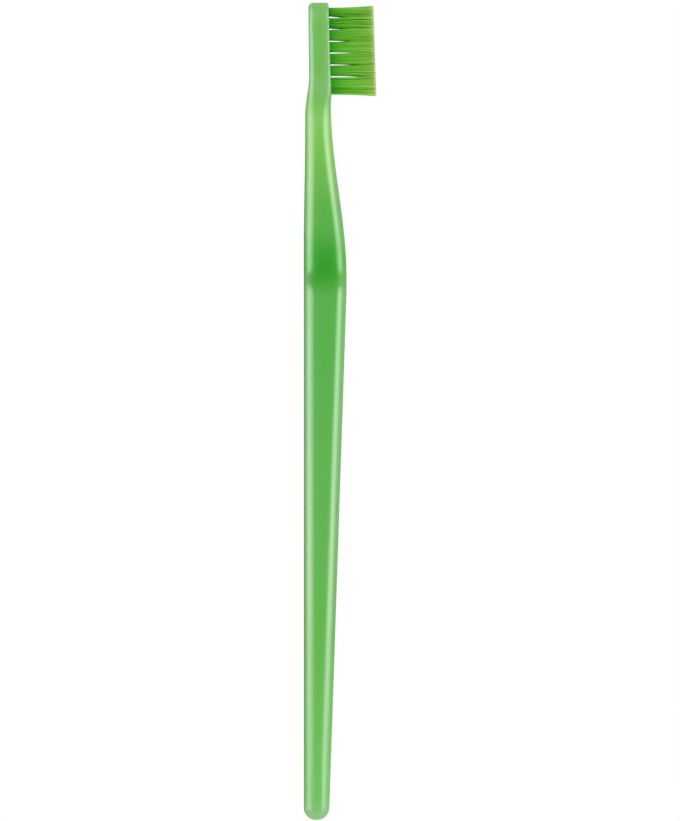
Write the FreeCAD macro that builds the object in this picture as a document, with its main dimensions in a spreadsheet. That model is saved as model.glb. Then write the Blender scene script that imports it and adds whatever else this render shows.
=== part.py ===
import FreeCAD, Part
import enum
import math
import os

import Sketcher

# A manual toothbrush: one moulded handle, and in its head rows of bristle tufts, each folded round a
# small flat anchor plate that holds it in its hole. The brush lies on its flat back. X runs along it
# towards the head, Z points the way the bristles do, and the origin is under its middle.

# Driving sizes, lengths in millimetres and the angle in degrees.
DRIVING_SIZES = {
    # Lengths along the handle, one stretch after another from the tail.
    "grip_length": 116.0,
    "bulge_length": 6.0,
    "taper_length": 24.0,
    "neck_length": 8.97,
    "shoulder_length": 7.4,
    "throat_setback": 3.77,
    # Thickness of the handle, from its back to its front.
    "tail_thickness": 5.57,
    "grip_thickness": 9.41,
    "crest_thickness": 9.43,
    "crest_setback": 3.0,
    "neck_front_height": 5.98,
    "neck_back_rise": 0.28,
    "facing_depth": 0.04,
    # Width of the handle, from side to side.
    "tail_width": 8.4,
    "grip_width": 10.0,
    "bulge_width": 12.8,
    "neck_width": 7.8,
    "throat_width": 9.7,
    # Rounding of the handle's edges and ends.
    "grip_round": 2.3,
    "tail_round": 2.6,
    "head_back_round": 1.4,
    "head_face_round": 0.8,
    "tip_corner": 4.2,
    "tip_round": 0.7,
    # Head: a flat bristle face that leans towards the tip, and a back that is almost level.
    "face_heel_height": 6.1,
    "face_tilt": 1.85,
    "heel_step": 1.7,
    "head_back_rise": 1.16,
    "head_back_setback": 1.6,
    "tip_back_rise": 0.97,
    # Tuft holes: the walls between them set the rows, and the edges round them set the head.
    "hole_diameter": 1.7,
    "hole_depth": 3.2,
    "row_wall": 0.917,
    "column_wall": 0.65,
    "side_wall": 0.9,
    "tip_wall": 1.08,
    "heel_wall": 0.15,
    # Tufts.
    "bristle_length": 9.9,
    "tuft_flare": 0.56,
    "tuft_fit": 0.02,
    "tuft_gap": 0.04,
    # Anchor plates.
    "anchor_length": 2.1,
    "anchor_thickness": 0.25,
    "anchor_height": 1.4,
    "anchor_fit": 0.02,
    "fold_thickness": 0.55,
}

# Tufts in each row, from the tip to the heel. The last row nests between the columns before it.
TUFTS_IN_ROW = (2, 3, 4, 4, 4, 4, 4, 3)

doc = FreeCAD.newDocument("toothbrush")
sheet = doc.addObject("Spreadsheet::Sheet", "Sizes")
for row, (alias, number) in enumerate(DRIVING_SIZES.items(), start=1):
    sheet.set(f"A{row}", alias)
    sheet.set(f"B{row}", str(number))
    sheet.setAlias(f"B{row}", alias)
doc.recompute()


class Size:
    """A size that carries its number and the formula that binds it to the sheet."""

    def __init__(self, number, formula):
        self.number = number
        self.formula = formula

    def __add__(self, other):
        other = as_size(other)
        return Size(self.number + other.number, f"({self.formula} + {other.formula})")

    def __sub__(self, other):
        other = as_size(other)
        return Size(self.number - other.number, f"({self.formula} - {other.formula})")

    def __mul__(self, other):
        other = as_size(other)
        return Size(self.number * other.number, f"({self.formula} * {other.formula})")

    __radd__ = __add__
    __rmul__ = __mul__


def as_size(value):
    """Wrap a plain number so that it can stand in a formula."""
    return value if isinstance(value, Size) else Size(value, f"({value:.9f})")


def size(alias):
    """The driving size of that name."""
    return Size(sheet.get(alias), f"Sizes.{alias}")


def smallest(first, second, third):
    """The least of three sizes."""
    number = min(first.number, second.number, third.number)
    return Size(number, f"min({first.formula}; {second.formula}; {third.formula})")


def bind(thing, path, value):
    """Tie one property of a document object to a size."""
    thing.setExpression(path, as_size(value).formula)


# Places along the handle, measured from the tail.
ROW_PITCH = size("hole_diameter") + size("row_wall")
COLUMN_PITCH = size("hole_diameter") + size("column_wall")
HOLE_RADIUS = size("hole_diameter") * 0.5
FULL_ROWS = len(TUFTS_IN_ROW) - 1
AT_TAIL = as_size(0.0)
AT_GRIP_END = size("grip_length")
AT_BULGE = AT_GRIP_END + size("bulge_length")
AT_CREST = AT_BULGE - size("crest_setback")
AT_NECK = AT_BULGE + size("taper_length")
AT_NECK_END = AT_NECK + size("neck_length")
AT_LAST_FULL_ROW = AT_NECK_END + size("shoulder_length")
AT_THROAT = AT_LAST_FULL_ROW - size("throat_setback")
AT_HEEL_ROW = AT_LAST_FULL_ROW - size("hole_diameter")
AT_FACE_HEEL = AT_HEEL_ROW - HOLE_RADIUS - size("heel_wall")
AT_NECK_LOW = AT_FACE_HEEL - size("heel_step")
AT_HEAD_BACK = AT_LAST_FULL_ROW + size("head_back_setback")
AT_TIP = AT_LAST_FULL_ROW + ROW_PITCH * (FULL_ROWS - 1) + HOLE_RADIUS + size("tip_wall")
AT_MIDDLE = AT_TIP * 0.5

WIDEST_ROW = max(TUFTS_IN_ROW)
HEAD_WIDTH = COLUMN_PITCH * (WIDEST_ROW - 1) + size("hole_diameter") + size("side_wall") * 2
TILT_COS = Size(math.cos(math.radians(sheet.get("face_tilt"))), "cos(Sizes.face_tilt)")
TILT_SIN = Size(math.sin(math.radians(sheet.get("face_tilt"))), "sin(Sizes.face_tilt)")
TILT_TAN = Size(math.tan(math.radians(sheet.get("face_tilt"))), "tan(Sizes.face_tilt)")
ANCHOR_BOTTOM = size("hole_depth") - size("fold_thickness")
TIP_FACE_HEIGHT = size("face_heel_height") - (AT_TIP - AT_FACE_HEEL) * TILT_TAN

# Each outline of the handle is a run of stretches: where a stretch ends, the size there, and how
# the outline gets there: straight, eased at both ends, flared from level, or settled to level.
FRONT_OUTLINE = [
    (AT_TAIL, size("tail_thickness"), "straight"),
    (AT_GRIP_END, size("grip_thickness"), "straight"),
    (AT_CREST, size("crest_thickness"), "eased"),
    (AT_NECK_LOW, size("neck_front_height"), "eased"),
    (AT_FACE_HEEL, size("face_heel_height") + size("facing_depth"), "eased"),
    (AT_TIP, TIP_FACE_HEIGHT + size("facing_depth"), "straight"),
]
BACK_OUTLINE = [
    (AT_TAIL, size("facing_depth") * -1, "straight"),
    (AT_BULGE, size("facing_depth") * -1, "straight"),
    (AT_NECK_END, size("neck_back_rise"), "eased"),
    (AT_HEAD_BACK, size("head_back_rise"), "eased"),
    (AT_TIP, size("tip_back_rise"), "straight"),
]
WIDTH_OUTLINE = [
    (AT_TAIL, size("tail_width"), "straight"),
    (AT_GRIP_END, size("grip_width"), "straight"),
    (AT_BULGE, size("bulge_width"), "eased"),
    (AT_NECK, size("neck_width"), "eased"),
    (AT_THROAT, size("throat_width"), "flared"),
    (AT_LAST_FULL_ROW, HEAD_WIDTH, "settled"),
    (AT_TIP, HEAD_WIDTH, "straight"),
]
BACK_ROUNDING = [
    (AT_TAIL, size("grip_round"), "straight"),
    (AT_NECK_END, size("grip_round"), "straight"),
    (AT_LAST_FULL_ROW, size("head_back_round"), "eased"),
    (AT_TIP, size("head_back_round"), "straight"),
]
FACE_ROUNDING = [
    (AT_TAIL, size("grip_round"), "straight"),
    (AT_NECK_END, size("grip_round"), "straight"),
    (AT_LAST_FULL_ROW, size("head_face_round"), "eased"),
    (AT_TIP, size("head_face_round"), "straight"),
]


def between(first, last, share):
    """A size that lies a share of the way from one size to another."""
    return first + (last - first) * share


# How far an outline has got on its way to the end of a stretch, at a share of the stretch's length.
MANNERS = {
    "straight": lambda share: share,
    "eased": lambda share: (1 - math.cos(math.pi * share)) / 2,
    "flared": lambda share: share**3,
    "settled": lambda share: 1 - (1 - share) ** 2,
}


def outline_at(outline, place):
    """The size that an outline has at a place along the handle."""
    for (start, first, _), (end, last, manner) in zip(outline, outline[1:]):
        if place.number <= end.number:
            share = (place.number - start.number) / (end.number - start.number)
            return between(first, last, MANNERS[manner](share))
    return outline[-1][1]


def origin_plane(body, role):
    """One of the body's own base planes."""
    return next(plane for plane in body.Origin.OriginFeatures if plane.Role == role)


def new_sketch(body, name, role):
    """A sketch on one of the body's base planes."""
    sketch = body.newObject("Sketcher::SketchObject", name)
    sketch.AttachmentSupport = [(origin_plane(body, role), "")]
    sketch.MapMode = "FlatFace"
    return sketch


class Drawing:
    """The edges of one sketch with their rules and dimensions, put into the sketch together."""

    def __init__(self, sketch):
        self.sketch = sketch
        self.edges = []
        self.rules = []
        self.dimensions = []

    def add_edges(self, edges):
        first = len(self.edges)
        self.edges += edges
        return list(range(first, len(self.edges)))

    def add_rule(self, kind, *targets):
        self.rules.append(Sketcher.Constraint(kind, *targets))

    def add_dimension(self, kind, *targets, value):
        self.dimensions.append((Sketcher.Constraint(kind, *targets, value.number), value))

    def finish(self):
        self.sketch.addGeometry(self.edges, False)
        self.sketch.addConstraint(self.rules + [rule for rule, _ in self.dimensions])
        for index, (_, value) in enumerate(self.dimensions, start=len(self.rules)):
            bind(self.sketch, f"Constraints[{index}]", value)


class PointOf(enum.IntEnum):
    """How a line, an arc or a circle of a sketch names its ends and its centre."""

    START = 1
    END = 2
    CENTRE = 3


# A section keeps this share of its half thickness or half width as its largest edge rounding.
ROUNDING_LIMIT = 0.49


def handle_section(body, place, inset=0.0, narrowing=0.0):
    """One cross section: a rectangle with rounded corners, drawn in at the two ends of the handle."""
    inset = as_size(inset)
    back = outline_at(BACK_OUTLINE, place) + inset
    front = outline_at(FRONT_OUTLINE, place) - inset
    half = (outline_at(WIDTH_OUTLINE, place) * 0.5) - narrowing - inset
    thickness_limit = (front - back) * ROUNDING_LIMIT
    width_limit = half * (2 * ROUNDING_LIMIT)
    back_round = smallest(outline_at(BACK_ROUNDING, place), thickness_limit, width_limit)
    face_round = smallest(outline_at(FACE_ROUNDING, place), thickness_limit, width_limit)

    sketch = new_sketch(body, "handle_section", "YZ_Plane")
    bind(sketch, "AttachmentOffset.Base.z", place)
    right, low, high = half.number, back.number, front.number
    below, above = back_round.number, face_round.number
    corners = [
        (right - below, low + below, below, -90),
        (right - above, high - above, above, 0),
        (above - right, high - above, above, 90),
        (below - right, low + below, below, 180),
    ]
    arcs = []
    for across, up, radius, turn in corners:
        circle = Part.Circle(FreeCAD.Vector(across, up, 0), FreeCAD.Vector(0, 0, 1), radius)
        arcs.append(Part.ArcOfCircle(circle, math.radians(turn), math.radians(turn + 90)))
    lines = []
    for arc, following in zip(arcs, arcs[1:] + arcs[:1]):
        lines.append(Part.LineSegment(arc.EndPoint, following.StartPoint))
    drawing = Drawing(sketch)
    edges = drawing.add_edges([edge for pair in zip(arcs, lines) for edge in pair])
    for edge, following in zip(edges, edges[1:] + edges[:1]):
        drawing.add_rule("Tangent", edge, PointOf.END, following, PointOf.START)
    first_arc, right_side, second_arc, front_side, third_arc, left_side, last_arc, back_side = edges
    drawing.add_rule("Vertical", right_side)
    drawing.add_rule("Vertical", left_side)
    drawing.add_rule("Horizontal", front_side)
    drawing.add_rule("Horizontal", back_side)
    drawing.add_rule("Equal", first_arc, last_arc)
    drawing.add_rule("Equal", second_arc, third_arc)
    drawing.add_dimension("Radius", first_arc, value=back_round)
    drawing.add_dimension("Radius", second_arc, value=face_round)
    drawing.add_dimension("DistanceX", right_side, PointOf.START, value=half)
    drawing.add_dimension("DistanceX", left_side, PointOf.START, value=half * -1)
    drawing.add_dimension("DistanceY", front_side, PointOf.START, value=front)
    drawing.add_dimension("DistanceY", back_side, PointOf.START, value=back)
    drawing.finish()
    return sketch


def tail_sections(body):
    """Sections of the tail's round end, drawn in along a quarter circle."""
    steps = 8
    sections = []
    for step in range(steps + 1):
        angle = math.pi / 2 * step / steps
        place = size("tail_round") * (1 - math.cos(angle))
        sections.append(handle_section(body, place, inset=size("tail_round") * (1 - math.sin(angle))))
    return sections


def tip_sections(body):
    """Sections of the head's tip, narrowed along its round corners and drawn in along its edge."""
    steps = 9
    sections = []
    for step in range(steps + 1):
        angle = math.pi / 2 * step / steps
        from_tip = size("tip_corner") * (1 - math.sin(angle))
        into_edge = max(0.0, 1 - from_tip.number / sheet.get("tip_round"))
        inset = size("tip_round") * (1 - math.sqrt(1 - into_edge**2))
        narrowing = size("tip_corner") * (1 - math.cos(angle))
        sections.append(handle_section(body, AT_TIP - from_tip, inset=inset, narrowing=narrowing))
    return sections


def loft_handle(body):
    """The handle's form, lofted straight from one section to the next, close together where it curves."""
    stretches = [
        (size("tail_round"), AT_GRIP_END, 1),
        (AT_GRIP_END, AT_BULGE, 8),
        (AT_BULGE, AT_NECK, 12),
        (AT_NECK, AT_NECK_END, 5),
        (AT_NECK_END, AT_THROAT, 4),
        (AT_THROAT, AT_LAST_FULL_ROW, 6),
        (AT_LAST_FULL_ROW, AT_HEAD_BACK, 3),
    ]
    sections = tail_sections(body)
    for start, end, steps in stretches:
        for step in range(1, steps + 1):
            sections.append(handle_section(body, between(start, end, step / steps)))
    sections += tip_sections(body)
    doc.recompute()
    loft = body.newObject("PartDesign::AdditiveLoft", "handle_form")
    loft.Profile = sections[0]
    loft.Sections = sections[1:]
    loft.Ruled = True
    doc.recompute()


def face_position(along, across, up):
    """Where a point of the bristle face lies, given along the face, across it and above it."""
    return (
        AT_FACE_HEEL - AT_MIDDLE + along * TILT_COS + up * TILT_SIN,
        as_size(across),
        size("face_heel_height") - along * TILT_SIN + up * TILT_COS,
    )


def put_on_face(thing, along, across, up):
    """Set a piece on the bristle face, square to it."""
    thing.Placement.Rotation = FreeCAD.Rotation(FreeCAD.Vector(0, 1, 0), sheet.get("face_tilt"))
    bind(thing, "Placement.Rotation.Angle", size("face_tilt"))
    for axis, value in zip("xyz", face_position(along, across, up)):
        bind(thing, f"Placement.Base.{axis}", value)


def tuft_places():
    """Each tuft's name, its place on the face, and how far it may spread to each side."""
    heel_row = len(TUFTS_IN_ROW)
    along_heel_row = AT_HEEL_ROW - AT_FACE_HEEL
    along_last_full_row = AT_LAST_FULL_ROW - AT_FACE_HEEL
    free = HOLE_RADIUS + size("tuft_flare")
    row_limit = (ROW_PITCH - size("tuft_gap")) * 0.5
    nested_limit = (size("hole_diameter") - size("tuft_gap")) * 0.5
    column_limit = (COLUMN_PITCH - size("tuft_gap")) * 0.5
    for row, count in enumerate(TUFTS_IN_ROW, start=1):
        nested = row == heel_row
        along = along_heel_row if nested else along_last_full_row + ROW_PITCH * (FULL_ROWS - row)
        to_tip = free if row == 1 else (nested_limit if nested else row_limit)
        to_heel = free if nested else (nested_limit if row == FULL_ROWS else row_limit)
        for column in range(count):
            across = COLUMN_PITCH * (column - (count - 1) / 2)
            to_right = free if column == 0 else column_limit
            to_left = free if column == count - 1 else column_limit
            yield f"r{row}_c{column + 1}", along, across, (to_heel, to_tip, to_right, to_left)


def face_sketch(body, name, depth):
    """A sketch parallel to the bristle face, at a depth below it, measured from the face's heel."""
    sketch = new_sketch(body, name, "XY_Plane")
    sketch.AttachmentOffset = FreeCAD.Placement(
        FreeCAD.Vector(), FreeCAD.Rotation(FreeCAD.Vector(0, 1, 0), sheet.get("face_tilt"))
    )
    bind(sketch, "AttachmentOffset.Rotation.Angle", size("face_tilt"))
    bind(sketch, "AttachmentOffset.Base.x", AT_FACE_HEEL - depth * TILT_SIN)
    bind(sketch, "AttachmentOffset.Base.z", size("face_heel_height") - depth * TILT_COS)
    return sketch


def cut_from(body, sketch, name, length, upwards=False):
    """Cut a sketch into the body."""
    pocket = body.newObject("PartDesign::Pocket", name)
    pocket.Profile = sketch
    pocket.Type = "Length"
    pocket.Reversed = upwards
    bind(pocket, "Length", length)
    doc.recompute()


def add_rectangle(drawing, low, high):
    """A rectangle between two corners, each corner tied to its sizes."""
    (left, bottom), (right, top) = low, high
    corners = [(left, bottom), (right, bottom), (right, top), (left, top)]
    points = [FreeCAD.Vector(across.number, up.number, 0) for across, up in corners]
    edges = drawing.add_edges([Part.LineSegment(a, b) for a, b in zip(points, points[1:] + points[:1])])
    for edge, following in zip(edges, edges[1:] + edges[:1]):
        drawing.add_rule("Coincident", edge, PointOf.END, following, PointOf.START)
    for edge, kind in zip(edges, ("Horizontal", "Vertical", "Horizontal", "Vertical")):
        drawing.add_rule(kind, edge)
    bottom_edge, _, top_edge, _ = edges
    drawing.add_dimension("DistanceX", bottom_edge, PointOf.START, value=left)
    drawing.add_dimension("DistanceY", bottom_edge, PointOf.START, value=bottom)
    drawing.add_dimension("DistanceX", top_edge, PointOf.START, value=right)
    drawing.add_dimension("DistanceY", top_edge, PointOf.START, value=top)


def face_off_back(body):
    """Plane the back flat, so that the brush lies level on it."""
    margin = size("bulge_width")
    drawing = Drawing(new_sketch(body, "back_facing_outline", "XY_Plane"))
    add_rectangle(drawing, (AT_TAIL - margin, margin * -1), (AT_TIP + margin, margin))
    drawing.finish()
    cut_from(body, drawing.sketch, "back_facing", size("facing_depth") * 2)


def face_off_head(body):
    """Plane the bristle face flat, running out towards the neck."""
    margin = HEAD_WIDTH
    drawing = Drawing(face_sketch(body, "head_facing_outline", as_size(0.0)))
    far_end = AT_TIP - AT_FACE_HEEL + margin
    add_rectangle(drawing, (size("heel_step") * -1, margin * -1), (far_end, margin))
    drawing.finish()
    cut_from(body, drawing.sketch, "head_facing", margin, upwards=True)


def bore_tuft_holes(body):
    """A blind hole for each tuft, square to the bristle face."""
    drawing = Drawing(face_sketch(body, "tuft_hole_circles", as_size(0.0)))
    for _, along, across, _ in tuft_places():
        centre = FreeCAD.Vector(along.number, across.number, 0)
        (circle,) = drawing.add_edges([Part.Circle(centre, FreeCAD.Vector(0, 0, 1), HOLE_RADIUS.number)])
        drawing.add_dimension("Radius", circle, value=HOLE_RADIUS)
        drawing.add_dimension("DistanceX", circle, PointOf.CENTRE, value=along)
        drawing.add_dimension("DistanceY", circle, PointOf.CENTRE, value=across)
    drawing.finish()
    cut_from(body, drawing.sketch, "tuft_holes", size("hole_depth"))


def new_part(kind, name, **sizes):
    """A primitive whose named sizes are tied to the sheet."""
    thing = doc.addObject(kind, name)
    for path, value in sizes.items():
        bind(thing, path.replace("_", "."), value)
    return thing


def anchor_block(kind, name, along, across, clearance):
    """A slip the size of an anchor, with a clearance all round, standing in its hole along the head."""
    length = size("anchor_length") + clearance * 2
    thickness = size("anchor_thickness") + clearance * 2
    height = size("anchor_height") + clearance * 2
    block = new_part("Part::Box", f"{kind}_{name}", Length=length, Width=thickness, Height=height)
    put_on_face(block, along - length * 0.5, across - thickness * 0.5, (ANCHOR_BOTTOM + clearance) * -1)
    return block


def make_handle():
    """The handle: lofted, planed flat on its back and its bristle face, then holed for the tufts."""
    body = doc.addObject("PartDesign::Body", "moulding")
    loft_handle(body)
    volumes = [body.Shape.Volume]
    for cut in (face_off_back, face_off_head, bore_tuft_holes):
        cut(body)
        volumes.append(body.Shape.Volume)
    bind(body, "Placement.Base.x", AT_MIDDLE * -1)

    # The two ends of each anchor press a slit into the walls of its hole.
    fit = size("anchor_fit")
    slits = doc.addObject("Part::Compound", "anchor_slits")
    slits.Links = [anchor_block("slit", name, along, across, fit) for name, along, across, _ in tuft_places()]
    handle = doc.addObject("Part::Cut", "handle")
    handle.Base = body
    handle.Tool = slits
    doc.recompute()
    volumes.append(handle.Shape.Volume)
    if any(after >= before for before, after in zip(volumes, volumes[1:])):
        raise RuntimeError(f"a cut in the handle took nothing away: {volumes}")
    return handle


def make_tuft(name, along, across, limits):
    """A tuft: a shank that fills its hole, flaring above the face, pressed flat by its neighbours."""
    to_heel, to_tip, to_right, to_left = limits
    radius = HOLE_RADIUS - size("tuft_fit")
    depth = size("hole_depth") - size("tuft_fit")
    shank = new_part(
        "Part::Cylinder",
        f"shank_{name}",
        Radius=radius,
        Height=depth,
        Placement_Base_z=depth * -1,
    )
    flare = new_part(
        "Part::Cone",
        f"flare_{name}",
        Radius1=radius,
        Radius2=radius + size("tuft_flare"),
        Height=size("bristle_length"),
    )
    bundle = doc.addObject("Part::Fuse", f"bundle_{name}")
    bundle.Base = shank
    bundle.Tool = flare
    room = new_part(
        "Part::Box",
        f"room_{name}",
        Length=to_heel + to_tip,
        Width=to_right + to_left,
        Height=depth + size("bristle_length"),
        Placement_Base_x=to_heel * -1,
        Placement_Base_y=to_right * -1,
        Placement_Base_z=depth * -1,
    )
    pressed = doc.addObject("Part::Common", f"pressed_{name}")
    pressed.Base = bundle
    pressed.Tool = room
    window_width = size("anchor_thickness") + size("anchor_fit") * 2
    window = new_part(
        "Part::Box",
        f"window_{name}",
        Length=size("hole_diameter"),
        Width=window_width,
        Height=size("anchor_height") + size("anchor_fit") * 2,
        Placement_Base_x=HOLE_RADIUS * -1,
        Placement_Base_y=window_width * -0.5,
        Placement_Base_z=(ANCHOR_BOTTOM + size("anchor_fit")) * -1,
    )
    tuft = doc.addObject("Part::Cut", f"tuft_{name}")
    tuft.Base = pressed
    tuft.Tool = window
    put_on_face(tuft, along, across, as_size(0.0))
    return tuft


sub_parts = [make_handle()]
for name, along, across, limits in tuft_places():
    sub_parts.append(make_tuft(name, along, across, limits))
    sub_parts.append(anchor_block("anchor", name, along, across, as_size(0.0)))
doc.recompute()

for thing in doc.Objects:
    if "Invalid" in thing.State or "Error" in thing.State:
        raise RuntimeError(f"{thing.Label} did not build")
for part in sub_parts:
    if part.Shape.isNull() or not part.Shape.isValid():
        raise RuntimeError(f"{part.Label} has no sound shape")

os.makedirs("parts", exist_ok=True)
for part in sub_parts:
    part.Shape.exportStep(f"parts/{part.Label}.step")
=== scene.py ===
import itertools
import math
import random

import bmesh
import bpy
from mathutils import Matrix, Vector


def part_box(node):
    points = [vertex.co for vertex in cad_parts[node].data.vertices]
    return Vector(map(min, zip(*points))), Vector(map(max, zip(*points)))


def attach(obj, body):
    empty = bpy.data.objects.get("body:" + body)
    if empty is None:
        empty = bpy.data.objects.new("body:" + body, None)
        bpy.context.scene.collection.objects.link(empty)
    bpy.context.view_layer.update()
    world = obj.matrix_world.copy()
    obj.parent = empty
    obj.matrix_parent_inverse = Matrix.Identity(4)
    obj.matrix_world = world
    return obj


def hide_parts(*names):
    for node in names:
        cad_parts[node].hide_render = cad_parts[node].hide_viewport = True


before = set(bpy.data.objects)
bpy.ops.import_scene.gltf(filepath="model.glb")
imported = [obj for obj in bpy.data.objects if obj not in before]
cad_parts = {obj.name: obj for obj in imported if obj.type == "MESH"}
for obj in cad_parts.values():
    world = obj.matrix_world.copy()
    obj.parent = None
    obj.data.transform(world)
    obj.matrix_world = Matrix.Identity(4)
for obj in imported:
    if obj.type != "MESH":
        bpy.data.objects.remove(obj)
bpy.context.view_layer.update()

# Handle
# One injection moulding of translucent green plastic: grip, thumb swell, neck and head in one shot.
# Its long edges are rounded, its sheen is soft, and its head has a blind hole for each tuft.
handle_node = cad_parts["handle"]
tail_end, tip_end = (corner.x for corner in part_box("handle"))
handle_length = tip_end - tail_end
same_point = 1e-6

# Rounding of the edges and of the two ends.
grip_round = 0.0023
tail_round = 0.0026
tip_corner = 0.0042
head_back_round = 0.0011
head_face_round = 0.0004
round_steps = 8
sharp_angle = math.radians(45)

# Places along the moulding where its shape changes, and the steps that the shape takes to each.
end_margin = 0.001
grip_starts = tail_end + tail_round + end_margin
grip_ends = tail_end + 0.1160
swell_top = tail_end + 0.1220
neck_starts = tail_end + 0.1460
neck_ends = tail_end + 0.15497
throat = tail_end + 0.1586
head_starts = tail_end + 0.16237
tip_starts = tip_end - tip_corner
last_loop = tip_starts - end_margin
stretches = [
    (grip_ends, 12),
    (swell_top, 8),
    (neck_starts, 12),
    (neck_ends, 5),
    (throat, 4),
    (head_starts, 6),
    (last_loop, 6),
]
loops_at = [grip_starts]
for stretch_end, steps in stretches:
    stretch_start = loops_at[-1]
    loops_at += [
        stretch_start + (stretch_end - stretch_start) * step / steps
        for step in range(1, steps + 1)
    ]
straight_run = 0.002


def slice_outline(at):
    """Half the width of the moulding at a place along it, and the heights of its back and its front."""
    solid = bmesh.new()
    solid.from_mesh(handle_node.data)
    parts = solid.verts[:] + solid.edges[:] + solid.faces[:]
    cut = bmesh.ops.bisect_plane(solid, geom=parts, plane_co=(at, 0, 0), plane_no=(1, 0, 0))["geom_cut"]
    points = [part.co.copy() for part in cut if isinstance(part, bmesh.types.BMVert)]
    solid.free()
    heights = [point.z for point in points]
    return Vector((max(point.y for point in points), min(heights), max(heights)))


def outline_at(at):
    """The same outline, with its straight run carried on through the two rounded ends."""
    inner = min(max(at, grip_starts + same_point), tip_starts - same_point)
    if inner == at:
        return slice_outline(at)
    further_in = inner + straight_run * (1 if at < inner else -1)
    end = slice_outline(inner)
    before_end = slice_outline(further_in)
    return end + (end - before_end) * ((at - inner) / (inner - further_in))


def rounding_at(at, head_round):
    """The rounding of a long edge: steady along the grip, then eased to the head's sharper edge."""
    share = min(max((at - neck_ends) / (head_starts - neck_ends), 0.0), 1.0)
    return grip_round + (head_round - grip_round) * (1 - math.cos(math.pi * share)) / 2


def select_where(kind, chosen):
    """Select the vertices or edges of the mesh in edit mode that a test picks."""
    bpy.ops.mesh.select_all(action="DESELECT")
    mesh = bmesh.from_edit_mesh(bpy.context.object.data)
    for part in getattr(mesh, kind):
        part.select_set(chosen(part))
    bmesh.update_edit_mesh(bpy.context.object.data)


# A box, cut into loops along its length. Each loop is fitted to the handle's outline there.
box_half_width, box_back, box_front = outline_at(grip_ends)
box_height = box_front - box_back
box_middle = (box_front + box_back) / 2
bpy.ops.object.select_all(action="DESELECT")
bpy.ops.mesh.primitive_cube_add(
    size=1,
    location=((tail_end + tip_end) / 2, 0, box_middle),
    scale=(handle_length, 2 * box_half_width, box_height),
)
handle = bpy.context.object
handle.name = "handle_moulding"
bpy.ops.object.transform_apply(location=True, rotation=True, scale=True)
bpy.ops.object.mode_set(mode="EDIT")
for at in loops_at:
    bpy.ops.mesh.select_all(action="SELECT")
    bpy.ops.mesh.bisect(plane_co=(at, 0, 0), plane_no=(1, 0, 0))
bpy.ops.mesh.select_mode(type="VERT")
for at in [tail_end] + loops_at + [tip_end]:
    half_width, back, front = outline_at(at)
    select_where("verts", lambda vertex: abs(vertex.co.x - at) < same_point)
    bpy.ops.transform.resize(
        value=(1, half_width / box_half_width, (front - back) / box_height),
        center_override=(at, 0, box_middle),
    )
    bpy.ops.transform.translate(value=(0, 0, (front + back) / 2 - box_middle))

# The tail is round when seen from the side, and the tip when seen from the bristles.
bpy.ops.mesh.select_mode(type="EDGE")
select_where(
    "edges",
    lambda edge: all(vertex.co.x < tail_end + same_point for vertex in edge.verts)
    and edge.verts[0].co.y * edge.verts[1].co.y < 0,
)
bpy.ops.mesh.bevel(offset=tail_round, segments=round_steps, affect="EDGES")
select_where(
    "edges",
    lambda edge: all(vertex.co.x > tip_end - same_point for vertex in edge.verts)
    and edge.verts[0].co.y * edge.verts[1].co.y > 0,
)
bpy.ops.mesh.bevel(offset=tip_corner, segments=round_steps, affect="EDGES")

# Every sharp edge is rounded, most along the grip and least along the bristle face.
mesh = bmesh.from_edit_mesh(handle.data)
weight = mesh.edges.layers.float.new("bevel_weight_edge")
for edge in mesh.edges:
    if edge.calc_face_angle() < sharp_angle:
        continue
    at = (edge.verts[0].co.x + edge.verts[1].co.x) / 2
    on_front = sum(face.normal.z for face in edge.link_faces) > 0
    edge_round = rounding_at(at, head_face_round if on_front else head_back_round)
    edge[weight] = edge_round / grip_round
bmesh.update_edit_mesh(handle.data)
bpy.ops.object.mode_set(mode="OBJECT")
rounded = handle.modifiers.new("rounded_edges", "BEVEL")
rounded.limit_method = "WEIGHT"
rounded.width = grip_round
rounded.segments = round_steps
rounded.use_clamp_overlap = False
bpy.ops.object.modifier_apply(modifier=rounded.name)

# Tuft holes, square to the bristle face, over the anchor plate at the bottom of each.
hole_radius = 0.00092
hole_depth = 0.0032
hole_sides = 24
anchor_middle_depth = 0.00195
tuft_names = sorted(name[len("tuft_"):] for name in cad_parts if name.startswith("tuft_"))
anchors_at = {}
for name in tuft_names:
    low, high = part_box(f"anchor_{name}")
    anchors_at[name] = (low + high) / 2
first_row, last_full_row = anchors_at["r1_c1"], anchors_at["r7_c1"]
face_tilt = math.atan2(last_full_row.z - first_row.z, first_row.x - last_full_row.x)
to_face = Matrix.Rotation(face_tilt, 4, "Y")
up_the_hole = to_face @ Vector((0, 0, anchor_middle_depth))
tufts_at = {name: place + up_the_hole for name, place in anchors_at.items()}

bpy.ops.object.select_all(action="DESELECT")
for name in tuft_names:
    bpy.ops.mesh.primitive_cylinder_add(
        vertices=hole_sides,
        radius=hole_radius,
        depth=2 * hole_depth,
        location=tufts_at[name],
        rotation=(0, face_tilt, 0),
    )
    bpy.context.object.name = f"hole_pin_{name}"
pins = [bpy.data.objects[f"hole_pin_{name}"] for name in tuft_names]
for pin in pins:
    pin.select_set(True)
bpy.context.view_layer.objects.active = pins[0]
bpy.ops.object.join()
bpy.ops.object.select_all(action="DESELECT")
bpy.context.view_layer.objects.active = handle
handle.select_set(True)
holed = handle.modifiers.new("tuft_holes", "BOOLEAN")
holed.operation = "DIFFERENCE"
holed.solver = "EXACT"
holed.object = pins[0]
bpy.ops.object.modifier_apply(modifier=holed.name)
bpy.data.objects.remove(pins[0])

bpy.ops.object.shade_smooth_by_angle(angle=sharp_angle)
evened = handle.modifiers.new("even_sheen", "WEIGHTED_NORMAL")
evened.keep_sharp = True
bpy.ops.object.modifier_apply(modifier=evened.name)

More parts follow.
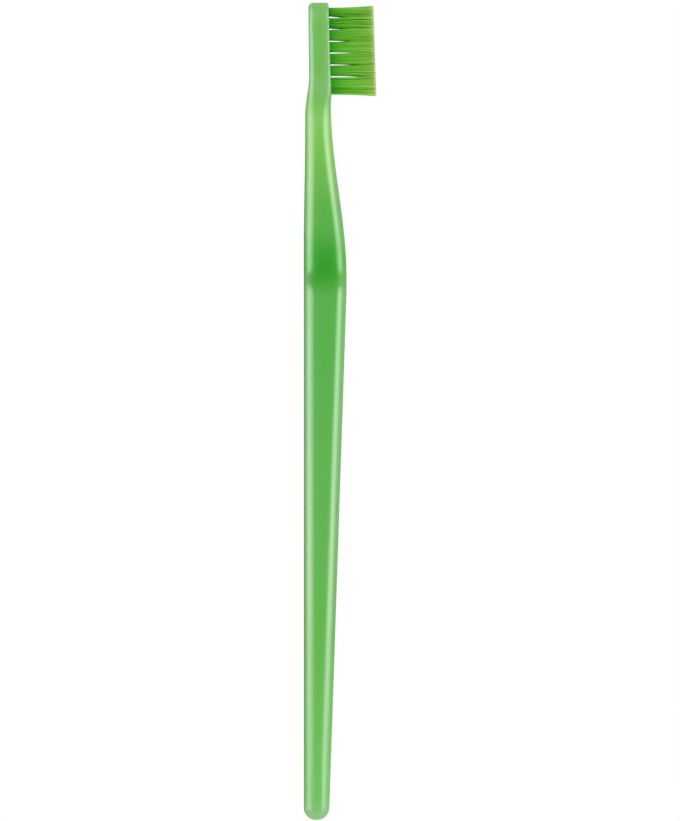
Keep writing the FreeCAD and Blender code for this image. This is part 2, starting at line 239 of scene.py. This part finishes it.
# The two flat sides take the light as if crowned a little, most towards the back.
back_crown = 0.11
front_crown = 0.06
least_sideways = 0.9
crowned = {}
for face in handle.data.polygons:
    if abs(face.normal.y) < least_sideways:
        continue
    for number in face.vertices:
        above_middle = handle.data.vertices[number].co.z > face.center.z
        crowned[number] = front_crown if above_middle else -back_crown
normals = [corner.vector.copy() for corner in handle.data.corner_normals]
for loop, normal in zip(handle.data.loops, normals):
    normal.z += crowned.get(loop.vertex_index, 0.0)
    normal.normalize()
handle.data.normals_split_custom_set(normals)

# How much each part of the surface faces the bristles' way, kept for its finish.
facing_up = handle.data.attributes.new("facing_up", "FLOAT", "CORNER")
for kept, corner in zip(facing_up.data, handle.data.corner_normals):
    kept.value = corner.vector.z


def seen_colour(red, green, blue):
    """A colour as it looks on a screen, 0 to 255, turned into the linear values that a shader takes."""
    levels = (channel / 255 for channel in (red, green, blue))
    linear = (
        level / 12.92 if level <= 0.04045 else ((level + 0.055) / 1.055) ** 2.4
        for level in levels
    )
    return (*linear, 1.0)


class Signal:
    """One output of a shader node. Arithmetic on it adds Math nodes to the same finish."""

    def __init__(self, finish, socket):
        self.finish = finish
        self.socket = socket

    def math(self, operation, first, second):
        return self.finish.node("ShaderNodeMath", {"operation": operation}, {0: first, 1: second})

    def __add__(self, other):
        return self.math("ADD", self, other)

    def __sub__(self, other):
        return self.math("SUBTRACT", self, other)

    def __rsub__(self, other):
        return self.math("SUBTRACT", other, self)

    def __mul__(self, other):
        return self.math("MULTIPLY", self, other)

    def __truediv__(self, other):
        return self.math("DIVIDE", self, other)

    __radd__ = __add__
    __rmul__ = __mul__


class Finish:
    """The nodes of a material or of the world, all added by one method."""

    def __init__(self, owner):
        owner.use_nodes = True
        self.tree = owner.node_tree

    def node(self, kind, settings, sockets, output=0):
        made = self.tree.nodes.new(kind)
        for name, value in settings.items():
            if name == "stops":
                self.set_stops(made.color_ramp, value)
            else:
                setattr(made, name, value)
        self.feed(made, sockets)
        return None if output is None else Signal(self, made.outputs[output])

    def set_stops(self, ramp, stops):
        for _ in range(len(stops) - len(ramp.elements)):
            ramp.elements.new(1.0)
        for element, (position, colour) in zip(ramp.elements, stops):
            element.position = position
            element.color = colour

    def feed(self, target, sockets):
        for name, value in sockets.items():
            socket = target.inputs[name]
            if isinstance(value, Signal):
                self.tree.links.new(value.socket, socket)
            else:
                socket.default_value = value

    def clamp(self, share):
        return self.node("ShaderNodeClamp", {}, {"Value": share})

    def smooth(self, share):
        return self.node("ShaderNodeMapRange", {"interpolation_type": "SMOOTHSTEP"}, {"Value": share})

    def noise(self, place, scale, detail):
        sockets = {"Vector": place, "Scale": scale, "Detail": detail}
        return self.node("ShaderNodeTexNoise", {}, sockets, "Fac")

    def mix_colours(self, share, first, second, blend="MIX"):
        settings = {"data_type": "RGBA", "blend_type": blend}
        factor, first_colour, second_colour, result = 0, 6, 7, 2
        sockets = {factor: share, first_colour: first, second_colour: second}
        return self.node("ShaderNodeMix", settings, sockets, result)


handle_plastic = bpy.data.materials.new("green_moulded_plastic")
finish = Finish(handle_plastic)
surface = finish.tree.nodes["Principled BSDF"]
place = finish.node("ShaderNodeTexCoord", {}, {}, "Object")
along = finish.node("ShaderNodeSeparateXYZ", {}, {"Vector": place}, "X")
height = finish.node("ShaderNodeSeparateXYZ", {}, {"Vector": place}, "Z")
upwards = finish.node("ShaderNodeAttribute", {"attribute_name": facing_up.name}, {}, "Fac")
share = (along - tail_end) / handle_length

# The plastic lets light through, so it pales where it is thin: in the neck and towards the two ends.
end_green = seen_colour(131, 194, 114)
tail_green = seen_colour(110, 189, 89)
thin_grip_green = seen_colour(86, 176, 59)
thick_grip_green = seen_colour(64, 167, 42)
swell_green = seen_colour(64, 166, 28)
lower_neck_green = seen_colour(112, 189, 66)
neck_green = seen_colour(126, 196, 93)
head_green = seen_colour(109, 182, 76)
tip_green = seen_colour(121, 184, 99)
greens_along = [
    (0.005, end_green),
    (0.030, tail_green),
    (0.220, thin_grip_green),
    (0.600, thick_grip_green),
    (0.745, swell_green),
    (0.825, lower_neck_green),
    (0.860, neck_green),
    (0.885, head_green),
    (0.970, head_green),
    (1.000, tip_green),
]
body_colour = finish.node("ShaderNodeValToRGB", {"stops": greens_along}, {"Fac": share})

# At the thumb swell it is thickest, and looks deepest in the middle of its side: partly the thick
# plastic's own deeper green, partly painted shade where the side turns away from the light.
deep_shaded_green = seen_colour(42, 154, 28)
deepest_at = tail_end + 0.1219
deep_towards_tail = 0.0075
deep_towards_head = 0.0101
swell_half_height = 0.0047
deep_fall_off = 1.5
off_middle = (height - swell_half_height) / swell_half_height
before = finish.clamp((along - deepest_at) / deep_towards_tail + 1.0)
after = finish.clamp((deepest_at - along) / deep_towards_head + 1.0)
on_swell = finish.smooth(before) * finish.smooth(after)
depth = on_swell * finish.smooth(finish.clamp(1.0 - off_middle * off_middle * deep_fall_off))
body_colour = finish.mix_colours(depth, body_colour, deep_shaded_green)

# At the heel of the head, light from the bristle face pales it.
heel_at = tail_end + 0.1612
heel_half_length = 0.0030
heel_paling = 0.85
off_heel = (along - heel_at) / heel_half_length
on_heel = finish.clamp(1.0 - off_heel * off_heel)
body_colour = finish.mix_colours(on_heel * heel_paling, body_colour, tip_green)

# Along the head it pales from the middle of its side towards its back and its bristle face: a painted
# sheen along the head's rounded edges.
head_edge_sheen_green = seen_colour(136, 186, 130)
head_middle = 0.00335
head_half_height = 0.0023
head_pales_from = 0.885
head_pales_over = 0.02
head_edge_sheen_strength = 0.85
bristle_face_cut = 2.0
past_heel = finish.clamp((share - head_pales_from) / head_pales_over)
off_head_middle = (height - head_middle) / head_half_height
off_bristle_face = 1.0 - finish.clamp(upwards * bristle_face_cut)
head_edge_sheen = finish.clamp(off_head_middle * off_head_middle) * past_heel * off_bristle_face
body_colour = finish.mix_colours(head_edge_sheen * head_edge_sheen_strength, body_colour, head_edge_sheen_green)

# The skin of the moulding is glossiest along the grip, and duller at the tail, the swell and the head.
tail_dulls_within = 0.35
tail_rim_within = 0.04
head_dulls_from = 0.745
head_dulls_over = 0.15
least_gloss = 0.124
tail_gloss = 0.009
grip_gloss = 0.111
head_gloss_loss = 0.85
deep_gloss_loss = 0.6
swell_gloss_loss = 0.15
tail_rim_gloss_loss = 0.28
off_tail = finish.smooth(finish.clamp(share / tail_dulls_within))
on_tail_rim = finish.clamp(1.0 - share / tail_rim_within)
on_head = finish.smooth(finish.clamp((share - head_dulls_from) / head_dulls_over))
skin_gloss = least_gloss + (tail_gloss + off_tail * grip_gloss) * (1.0 - on_head * head_gloss_loss)
skin_gloss = skin_gloss * (1.0 - depth * deep_gloss_loss) * (1.0 - on_swell * swell_gloss_loss)
skin_gloss = skin_gloss * (1.0 - on_tail_rim * tail_rim_gloss_loss)

# Its rounded edges gather light from all round, and look greyer than its flat sides.
edge_tint = (1.60, 0.88, 2.30, 1.0)
edge_sets_in = 10.0
edge_dies_out = 5.0
tail_greyness = 0.4
head_grey_loss = 0.75
swell_grey_loss = 0.7
tilt = upwards * upwards
rounded_away = finish.clamp(tilt * edge_sets_in) * finish.clamp((1.0 - tilt) * edge_dies_out)
rounded_away = rounded_away * (tail_greyness + off_tail * (1.0 - tail_greyness))
rounded_away = rounded_away * (1.0 - on_head * head_grey_loss) * (1.0 - on_swell * swell_grey_loss)
greyer = finish.mix_colours(1.0, body_colour, edge_tint, "MULTIPLY")
body_colour = finish.mix_colours(rounded_away, body_colour, greyer)

# Where they turn furthest from the sides they are one even grey green, all along the thicker moulding:
# painted shade and dull reflection at the rim.
painted_rim_green = seen_colour(128, 181, 122)
rim_from = 0.10
rim_full_after = 0.45
rim_tilt = 0.40
rim_sets_in = 4.0
rim_evenness = 0.6
off_thin_grip = finish.smooth(finish.clamp((share - rim_from) / rim_full_after))
painted_rim_mask = finish.clamp((tilt - rim_tilt) * rim_sets_in) * rounded_away * off_thin_grip
body_colour = finish.mix_colours(painted_rim_mask * rim_evenness, body_colour, painted_rim_green)

# Faint marks follow the flow of the plastic, and the mould leaves a fine grain on its skin.
flow_tint = (0.90, 0.97, 0.88, 1.0)
flow_stretch = (0.25, 1.0, 1.0)
flow_scale = 260.0
grain_scale = 2600.0
grain_height = 0.00004
least_roughness = 0.25
grain_roughness = 0.10
along_the_flow = finish.node("ShaderNodeMapping", {}, {"Vector": place, "Scale": flow_stretch})
flow_marks = finish.noise(along_the_flow, flow_scale, detail=2.0)
deeper = finish.mix_colours(1.0, body_colour, flow_tint, "MULTIPLY")
grain = finish.noise(place, grain_scale, detail=3.0)
finish.feed(surface, {
    "Base Color": finish.mix_colours(flow_marks, body_colour, deeper),
    "Roughness": least_roughness + grain * grain_roughness,
    "Coat Weight": skin_gloss,
    "Coat Roughness": 0.30,
    "Coat IOR": 2.2,
    "Normal": finish.node(
        "ShaderNodeBump", {}, {"Height": grain, "Strength": 0.10, "Distance": grain_height}
    ),
    "IOR": 1.49,
    "Specular IOR Level": 0.0,
    "Subsurface Weight": 0.25,
    "Subsurface Radius": (0.5, 1.0, 0.4),
    "Subsurface Scale": 0.0015,
})
handle.data.materials.append(handle_plastic)
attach(handle, "root")
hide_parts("handle")

# Tufts
# Bundles of green nylon filament, trimmed level. Each filament is folded in half round its tuft's anchor
# plate, so both legs stand out of the hole. The legs fan out until they meet the tuft beside them.
row_pitch = (tufts_at["r5_c1"] - tufts_at["r6_c1"]).length
column_pitch = tufts_at["r5_c2"].y - tufts_at["r5_c1"].y
nested_pitch = (tufts_at["r7_c1"] - tufts_at["r8_c1"]).x

bristle_length = 0.0099
plate_half_height = 0.0007
plate_half_thickness = 0.000125

filament_radius = 0.00008
filament_sides = 5
tip_height = 0.00006
tip_narrowing = 0.5
bend_shares = (0.76, 0.55, 0.37, 0.20, 0.05, 0.0)
fold_steps = 3
radii_along_plate = 2.13
radii_off_plate = 1.76
filament_pitch = radii_along_plate * filament_radius
layer_pitch = radii_off_plate * filament_radius
layers = 4
columns = 10
bundle_radius = hole_radius - filament_radius
hole_clearance = 0.00002


def layer_reach(layer):
    """How far a layer of filaments lies from the middle of the plate."""
    return plate_half_thickness + filament_radius + layer_pitch * layer


def fold_filament(layer):
    """One filament folded round the plate: down one leg, round the fold and up the other leg."""
    reach = layer_reach(layer)
    plate_bottom = -(anchor_middle_depth + plate_half_height)
    fold_centre = max(plate_bottom, reach + filament_radius + hole_clearance - hole_depth)
    bends = [bristle_length * share for share in bend_shares]
    rings_down = [bristle_length - tip_height] + bends + [fold_centre]
    bpy.ops.object.select_all(action="DESELECT")
    bpy.ops.mesh.primitive_circle_add(
        vertices=filament_sides,
        radius=filament_radius * tip_narrowing,
        fill_type="NGON",
        location=(0, reach, bristle_length),
    )
    filament = bpy.context.object
    bpy.ops.object.transform_apply(location=True, rotation=True, scale=True)
    bpy.ops.object.mode_set(mode="EDIT")
    bpy.ops.mesh.select_all(action="SELECT")
    height = bristle_length
    for ring in rings_down:
        bpy.ops.mesh.extrude_region_move(TRANSFORM_OT_translate={"value": (0, 0, ring - height)})
        if ring == rings_down[0]:
            bpy.ops.transform.resize(value=(1 / tip_narrowing, 1 / tip_narrowing, 1))
        height = ring
    bpy.ops.mesh.spin(
        steps=fold_steps,
        angle=math.pi,
        center=(0, 0, fold_centre),
        axis=(1, 0, 0),
    )
    for ring in rings_down[-2::-1] + [bristle_length]:
        bpy.ops.mesh.extrude_region_move(TRANSFORM_OT_translate={"value": (0, 0, ring - height)})
        if ring == bristle_length:
            bpy.ops.transform.resize(value=(tip_narrowing, tip_narrowing, 1))
        height = ring
    bpy.ops.mesh.select_all(action="SELECT")
    bpy.ops.mesh.remove_doubles(threshold=same_point)
    bpy.ops.mesh.normals_make_consistent(inside=False)
    bpy.ops.object.mode_set(mode="OBJECT")
    bpy.ops.object.shade_smooth()
    mesh = filament.data
    bpy.data.objects.remove(filament)
    return mesh


folded = [fold_filament(layer) for layer in range(layers)]

# How high up its length, as a share, a row's filaments meet those of the next row towards the heel.
rows_meet_at = {"r1": 0.34, "r2": 0.40, "r3": 0.62, "r4": 0.86, "r5": 0.76, "r6": 0.86, "r7": 0.06}
columns_meet_at = 0.55
overlap = 0.00020
mouth_swell = 1.36
tip_flare = 0.00045
heel_flare = 0.00039
side_flare = 0.00040
squareness = 0.6
stray = 0.00010
root_stray = 0.00003
uneven_meeting = 0.3
uneven_trim = 0.00005
tint_map_name = "tint_and_height"


def room_round(name):
    """A tuft's room at the trim: how far it reaches each way, and where it meets what is there."""
    row = name.split("_")[0]
    row_before = f"r{int(row[1]) - 1}"
    across = tufts_at[name].y
    same_row = [place.y for other, place in tufts_at.items() if other.startswith(row + "_")]
    between_rows = row_pitch / 2 + overlap
    between_nested = nested_pitch / 2 + overlap
    between_columns = column_pitch / 2 + overlap
    to_tip = {"r1": (hole_radius + tip_flare, 1.0), "r8": (between_nested, rows_meet_at["r7"])}
    to_heel = {"r7": (between_nested, rows_meet_at["r7"]), "r8": (hole_radius + heel_flare, 1.0)}
    beside = {True: (hole_radius + side_flare, 1.0), False: (between_columns, columns_meet_at)}
    return {
        ("x", True): to_tip.get(row, (between_rows, rows_meet_at.get(row_before))),
        ("x", False): to_heel.get(row, (between_rows, rows_meet_at.get(row))),
        ("y", True): beside[across == max(same_row)],
        ("y", False): beside[across == min(same_row)],
    }


def fan_out(start, room, share, delay):
    """How far a leg has moved from its place in the hole, at a share of its free length."""
    out_of_round = max(abs(start.x), abs(start.y)) / start.length
    moved = []
    for axis, begin in (("x", start.x), ("y", start.y)):
        reach, meets = room[axis, begin > 0]
        end = begin / bundle_radius / out_of_round**squareness * (reach - filament_radius)
        swollen = begin * (mouth_swell - 1) if share > 0 and meets < 1 else 0.0
        moved.append(swollen + (end - begin - swollen) * min(share / meets / delay, 1.0) ** 2)
    return moved


def make_tuft(name, shape):
    """A tuft's bundle of folded filaments, standing in its hole."""
    room = room_round(name)
    bundle = bmesh.new()
    tint = bundle.loops.layers.uv.new(tint_map_name)
    for layer, number in itertools.product(range(layers), range(columns)):
        start_x = filament_pitch * (number - (columns - 1) / 2 + (layer % 2) / 2)
        start_y = layer_reach(layer)
        if math.hypot(start_x, start_y) > bundle_radius:
            continue
        starts = [Vector((start_x, start_y)), Vector((start_x, -start_y))]
        leg_tint = [shape.random(), shape.random()]
        leg_stray = [(shape.gauss(0, stray), shape.gauss(0, stray)) for _ in starts]
        leg_lean = [shape.gauss(0, root_stray) for _ in starts]
        leg_trim = [shape.uniform(-uneven_trim, 0) for _ in starts]
        leg_delay = [shape.uniform(1, 1 + uneven_meeting) for _ in starts]
        first_new = len(bundle.verts)
        first_face = len(bundle.faces)
        bundle.from_mesh(folded[layer])
        bundle.verts.ensure_lookup_table()
        bundle.faces.ensure_lookup_table()
        legs = {}
        for vertex in bundle.verts[first_new:]:
            leg = 0 if vertex.co.y > 0 else 1
            free = max(0.0, vertex.co.z)
            share = free / bristle_length
            legs[vertex] = (leg, share)
            move_x, move_y = fan_out(starts[leg], room, share, leg_delay[leg])
            vertex.co.x += start_x + move_x + leg_stray[leg][0] * share - math.tan(face_tilt) * free
            vertex.co.x += leg_lean[leg] if share > 0 else 0.0
            vertex.co.y += move_y + leg_stray[leg][1] * share
            vertex.co.z += leg_trim[leg] * share
        for face in bundle.faces[first_face:]:
            for loop in face.loops:
                leg, share = legs[loop.vert]
                loop[tint].uv = (leg_tint[leg], share)
    bmesh.ops.transform(bundle, matrix=Matrix.Translation(tufts_at[name]) @ to_face, verts=bundle.verts)
    mesh = bpy.data.meshes.new(f"filaments_{name}")
    bundle.to_mesh(mesh)
    bundle.free()
    tuft = bpy.data.objects.new(f"filaments_{name}", mesh)
    bpy.context.scene.collection.objects.link(tuft)
    return tuft


bristle_nylon = bpy.data.materials.new("green_nylon_filament")
finish = Finish(bristle_nylon)
surface = finish.tree.nodes["Principled BSDF"]
tint_map = finish.node("ShaderNodeUVMap", {"uv_map": tint_map_name}, {})
leg_tint = finish.node("ShaderNodeSeparateXYZ", {}, {"Vector": tint_map}, "X")
height = finish.node("ShaderNodeSeparateXYZ", {}, {"Vector": tint_map}, "Y")
# Light gathers in the filaments towards their cut ends, so they pale from the root to the trim.
greens_up = [
    (0.00, seen_colour(54, 172, 12)),
    (0.25, seen_colour(98, 194, 36)),
    (0.60, seen_colour(130, 207, 58)),
    (0.93, seen_colour(154, 207, 80)),
    (0.99, seen_colour(200, 213, 152)),
]
nylon_colour = finish.node("ShaderNodeValToRGB", {"stops": greens_up}, {"Fac": height})
# No two filaments are quite the same green, and drawing them leaves faint streaks in their gloss.
darker_tint = (0.82, 0.94, 0.76, 1.0)
streak_scale = 1800.0
nylon_roughness = 0.30
streak_roughness = 0.12
darker = finish.mix_colours(1.0, nylon_colour, darker_tint, "MULTIPLY")
place = finish.node("ShaderNodeTexCoord", {}, {}, "Object")
streaks = finish.noise(place, streak_scale, detail=1.0)
finish.feed(surface, {
    "Base Color": finish.mix_colours(leg_tint, nylon_colour, darker),
    "Roughness": nylon_roughness + streaks * streak_roughness,
    "IOR": 1.53,
    "Specular IOR Level": 0.18,
})
tuft_seed = 28
shape = random.Random(tuft_seed)
for name in tuft_names:
    tuft = make_tuft(name, shape)
    tuft.data.materials.append(bristle_nylon)
    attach(tuft, "root")
    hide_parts(f"tuft_{name}")

# Anchor plates
# Short slips of flat rolled brass wire. A machine folds each tuft round one and punches both into the
# hole, where the slip's two ends bite into the plastic. They stay hidden inside the head.
bright_brass = seen_colour(212, 184, 118)
dull_brass = seen_colour(186, 152, 84)
roll_stretch = (0.05, 1.0, 1.0)
roll_scale = 30000.0
brass_roughness = 0.22
roll_roughness = 0.2

anchor_brass = bpy.data.materials.new("rolled_anchor_brass")
finish = Finish(anchor_brass)
surface = finish.tree.nodes["Principled BSDF"]
place = finish.node("ShaderNodeTexCoord", {}, {}, "Object")
along_the_wire = finish.node("ShaderNodeMapping", {}, {"Vector": place, "Scale": roll_stretch})
roll_marks = finish.noise(along_the_wire, roll_scale, detail=2.0)
finish.feed(surface, {
    "Base Color": finish.mix_colours(roll_marks, bright_brass, dull_brass),
    "Roughness": brass_roughness + roll_marks * roll_roughness,
    "Metallic": 1.0,
})
for name in tuft_names:
    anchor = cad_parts[f"anchor_{name}"]
    anchor.material_slots[0].material = anchor_brass

# Floor and background
# A plain white sheet that the brush lies on, in a white room. It takes the brush's soft shadow, and a
# camera sees it white where nothing shades it.
floor_size = 60.0
floor_gap = 0.00002
floor_white = 0.55
floor_glow = 0.495
room_light = 0.92

bpy.ops.object.select_all(action="DESELECT")
bpy.ops.mesh.primitive_plane_add(size=floor_size, location=(0, 0, -floor_gap))
floor = bpy.context.object
floor.name = "white_sheet"
bpy.ops.object.transform_apply(location=True, rotation=True, scale=True)
# The plastic doesn't mirror it, and the lamps that stand lower shine through it.
floor.visible_glossy = False
floor.visible_shadow = False
white_sheet =bpy.data.materials.new("white_sheet")
finish = Finish(white_sheet)
finish.tree.nodes.clear()
paper = finish.node("ShaderNodeBsdfDiffuse", {}, {"Color": (floor_white, floor_white, floor_white, 1.0)})
glow = finish.node("ShaderNodeEmission", {}, {"Color": (1, 1, 1, 1), "Strength": floor_glow})
lit_paper = finish.node("ShaderNodeAddShader", {}, {0: paper, 1: glow})
finish.node("ShaderNodeOutputMaterial", {}, {"Surface": lit_paper}, None)
floor.data.materials.append(white_sheet)

world = bpy.data.worlds.new("white_room")
bpy.context.scene.world = world
finish = Finish(world)
background = finish.tree.nodes["Background"]
seen = finish.node("ShaderNodeLightPath", {}, {}, "Is Camera Ray")
mirrored = finish.node("ShaderNodeLightPath", {}, {}, "Is Glossy Ray")
through = finish.node("ShaderNodeLightPath", {}, {}, "Is Transmission Ray")
finish.feed(background, {
    "Color": (1.0, 1.0, 1.0, 1.0),
    "Strength": room_light + (seen + mirrored + through) * (1.0 - room_light),
})

# Lamps
# A long softbox stands on each side of the brush, towards the viewer, and draws a pale line along the
# rounded edges there. A dim one faces the tail, and a broad lamp overhead gives the shadow.
softbox_distance = 1.2
softbox_from = -0.42
softbox_to = 2.5
softbox_radiance = 9.6
# Each softbox is brightest along its middle: the angles from the line of sight, and the share of light.
softbox_strips = {
    "front_softbox": [(18, 33, 0.45), (33, 62, 1.0), (62, 84, 0.5)],
    "back_softbox": [(-46, -20, 0.5), (-80, -46, 1.0), (-98, -80, 0.5)],
}
tail_turn = math.radians(75)
tail_softbox_width = 1.4
tail_softbox_height = 2.9
tail_softbox_radiance = 0.9
overhead_forward = 0.5
overhead_height = 1.4
overhead_width = 0.9
overhead_watts = 4.0


def add_softbox(name, location, rotation, width, height, radiance):
    """A softbox that lights nothing but the sheen of what faces it, and isn't in view."""
    bpy.ops.object.light_add(type="AREA", location=location, rotation=rotation)
    softbox = bpy.context.object
    softbox.name = name
    softbox.data.shape = "RECTANGLE"
    softbox.data.size = width
    softbox.data.size_y = height
    softbox.data.energy = radiance * math.pi * softbox.data.size * softbox.data.size_y
    softbox.visible_camera = False
    softbox.visible_diffuse = False


for side, strips in softbox_strips.items():
    for first_angle, last_angle, share in strips:
        turn = math.radians((first_angle + last_angle) / 2)
        half_spread = math.radians((last_angle - first_angle) / 2)
        add_softbox(
            side,
            location=(
                (softbox_from + softbox_to) / 2,
                softbox_distance * math.cos(turn),
                softbox_distance * math.sin(turn),
            ),
            rotation=(turn - math.pi / 2, 0, 0),
            width=softbox_to - softbox_from,
            height=2 * softbox_distance * math.tan(half_spread),
            radiance=softbox_radiance * share,
        )
add_softbox(
    "tail_softbox",
    location=(-softbox_distance * math.sin(tail_turn), softbox_distance * math.cos(tail_turn), 0),
    rotation=(-math.pi / 2, 0, tail_turn),
    width=tail_softbox_width,
    height=tail_softbox_height,
    radiance=tail_softbox_radiance,
)

bpy.ops.object.light_add(
    type="AREA",
    location=(0, overhead_forward, overhead_height),
    rotation=(-math.atan2(overhead_forward, overhead_height), 0, 0),
)
overhead = bpy.context.object
overhead.name = "overhead_lamp"
overhead.data.shape = "DISK"
overhead.data.size = overhead_width
overhead.data.energy = overhead_watts
overhead.visible_camera = False
overhead.visible_glossy = False

# Camera
# Level with the brush and square to its side, turned so that the head is up and the bristles point
# right. A long lens far away keeps the view almost without perspective.
picture_height_px = 821
metres_per_px = 0.00022032
view_centre = Vector((0.00017, 0.0, 0.00798))
camera_distance = 5.0
sensor_mm = 36.0
nearest_in_view = 0.1
furthest_in_view = 100.0
# The view's right is the brush's +Z, its up is +X, and it looks along -Y.
head_up = Matrix((
    (0, 1, 0, 0),
    (0, 0, 1, 0),
    (1, 0, 0, 0),
    (0, 0, 0, 1),
))

bpy.ops.object.camera_add(location=view_centre + Vector((0, camera_distance, 0)))
camera = bpy.context.object
camera.matrix_world = Matrix.Translation(camera.location) @ head_up
camera.data.sensor_width = sensor_mm
camera.data.lens = sensor_mm * camera_distance / (picture_height_px * metres_per_px)
camera.data.clip_start = nearest_in_view
camera.data.clip_end = furthest_in_view
bpy.context.scene.camera = camera
bpy.context.scene.view_settings.view_transform = "Standard"
